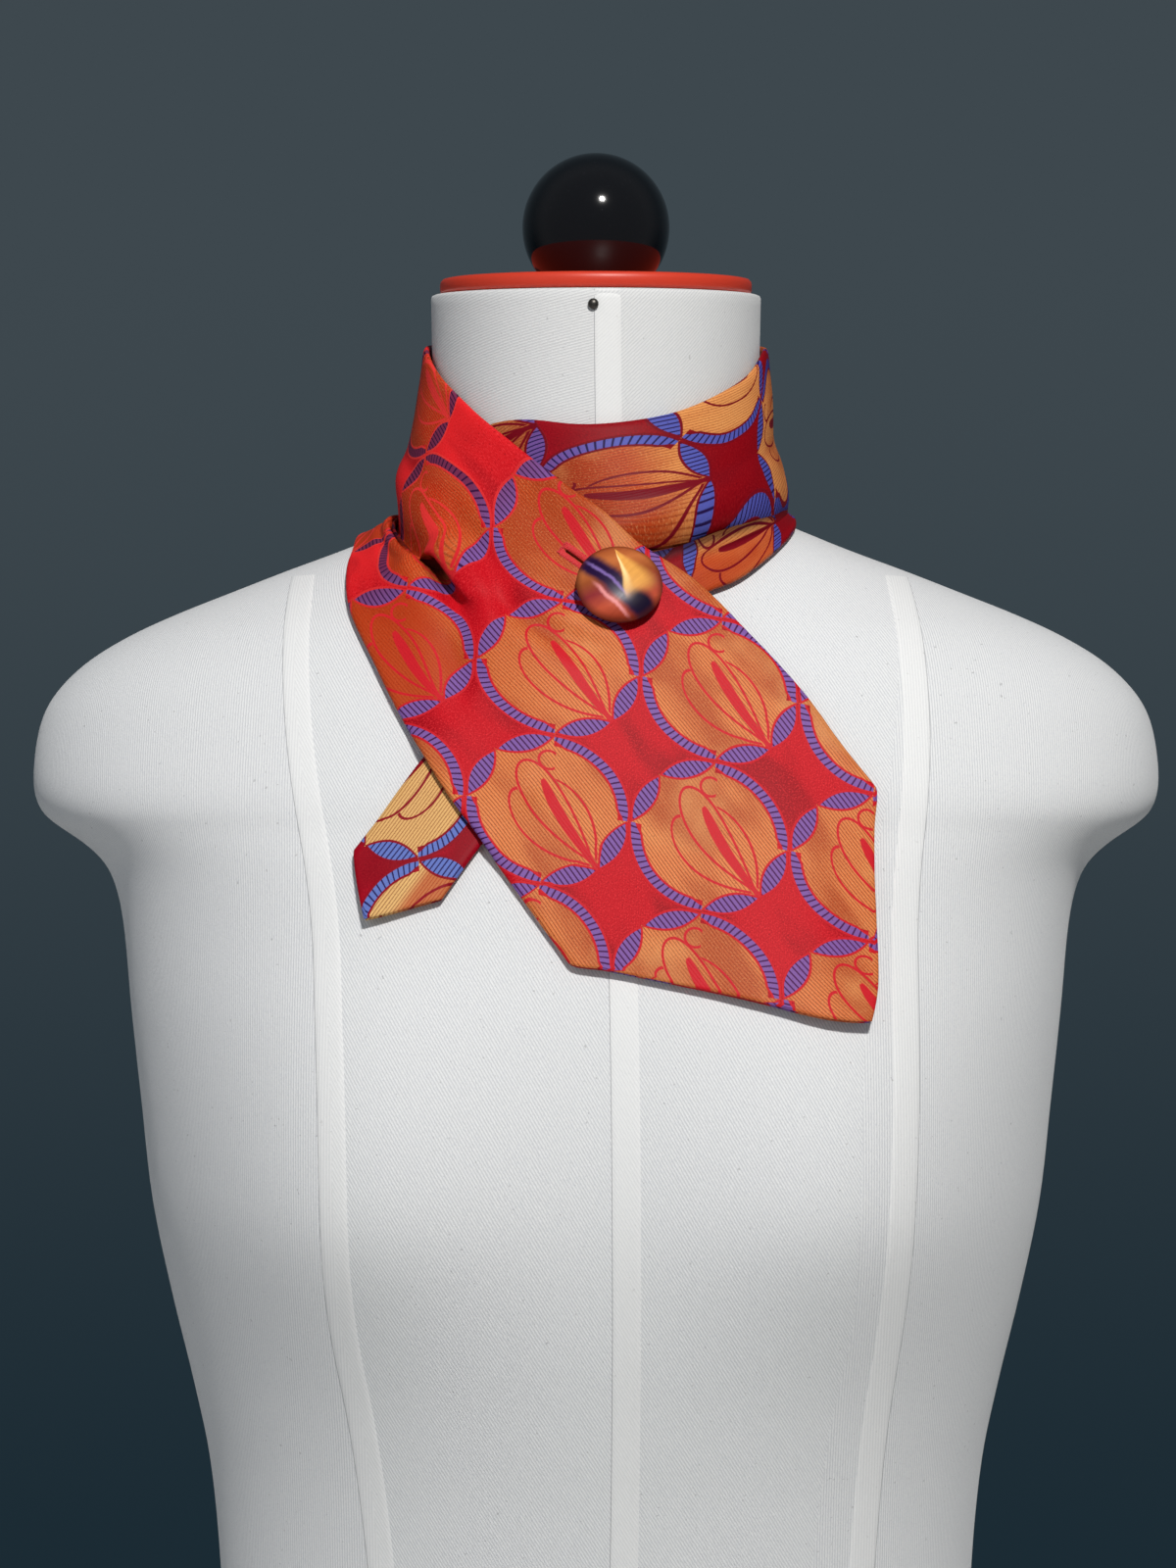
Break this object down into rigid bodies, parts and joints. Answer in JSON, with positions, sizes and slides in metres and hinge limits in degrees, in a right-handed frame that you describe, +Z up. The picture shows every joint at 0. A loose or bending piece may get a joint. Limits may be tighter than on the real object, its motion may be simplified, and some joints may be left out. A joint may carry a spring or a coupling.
{
  "type": "tie scarf on a dress form",
  "caption": "Folded necktie cloth wound round the neck of a limbless dress form, crossed in front and held by a shank button through a buttonhole.",
  "frame": {"origin": "centre of the flat base under the form, on the surface it stands on", "axes": "front faces -Y, +X is the viewer's right in the picture, +Z is up"},
  "size_m": [0.368, 0.2441, 0.699],
  "materials": {
    "form_cover": "matt twill cover over a firm torso",
    "neck_cap": "smooth orange red plate",
    "ball": "high gloss black",
    "pin": "dark pin head",
    "tie_cloth": "satin ground with a woven repeat",
    "button": "pearly swirl, polished"
  },
  "bodies": {
    "root": {"form_body": "form_cover", "neck_cap": "neck_cap", "ball_finial": "ball", "neck_pin": "pin", "wide_end": "tie_cloth", "neck_wrap": "tie_cloth", "under_band": "tie_cloth", "narrow_end": "tie_cloth", "button": "button"}
  },
  "joints": []
}
